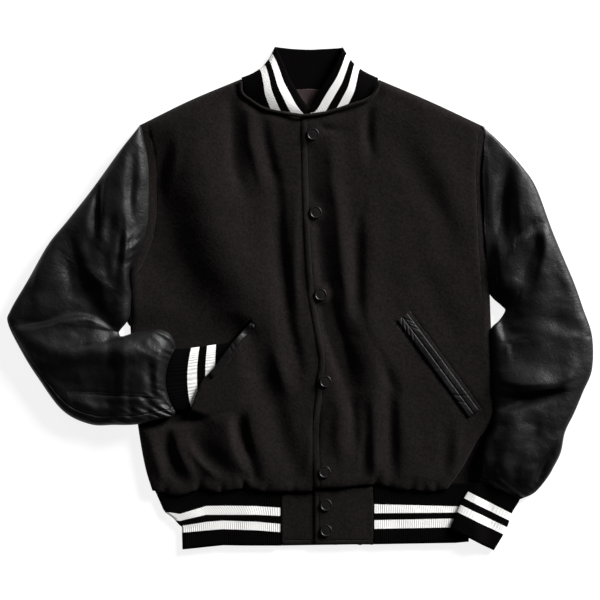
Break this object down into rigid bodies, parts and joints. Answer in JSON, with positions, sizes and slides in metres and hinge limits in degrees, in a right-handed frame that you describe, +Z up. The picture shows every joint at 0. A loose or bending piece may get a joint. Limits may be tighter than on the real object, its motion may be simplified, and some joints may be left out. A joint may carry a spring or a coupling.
{
  "type": "varsity jacket",
  "caption": "Wool-bodied varsity jacket with leather sleeves and striped rib trim, laid flat with one cuff in its pocket.",
  "frame": {"origin": "on the surface that the jacket lies on, under the middle of its outline", "axes": "+Z up through the fronts, +Y from the waistband to the collar, +X to the wearer's left"},
  "size_m": [0.8457, 0.73, 0.0396],
  "materials": {
    "wool_melton": "black melton wool, felted and brushed",
    "sleeve_leather": "black fine-grained leather, soft sheen",
    "rib_knit": "black rib knit with knitted-in white stripes",
    "lining_satin": "dark brown satin",
    "snap_enamel": "black enamelled snap cap"
  },
  "bodies": {
    "root": {"back": "wool_melton", "front_left": "wool_melton", "front_right": "wool_melton", "neck_piping": "wool_melton", "waist_tab_left": "wool_melton", "waist_tab_right": "wool_melton", "sleeve_left_lower": "sleeve_leather", "sleeve_left_upper": "sleeve_leather", "sleeve_right_lower": "sleeve_leather", "sleeve_right_upper": "sleeve_leather", "under_sleeve_left": "sleeve_leather", "under_sleeve_right": "sleeve_leather", "welt_left_lower": "sleeve_leather", "welt_left_upper": "sleeve_leather", "welt_right": "sleeve_leather", "collar": "rib_knit", "cuff_left": "rib_knit", "cuff_right": "rib_knit", "waistband_rib": "rib_knit", "back_neck_lining": "lining_satin", "snap_1": "snap_enamel", "snap_2": "snap_enamel", "snap_3": "snap_enamel", "snap_4": "snap_enamel", "snap_5": "snap_enamel", "snap_6": "snap_enamel", "snap_7": "snap_enamel"}
  },
  "joints": []
}
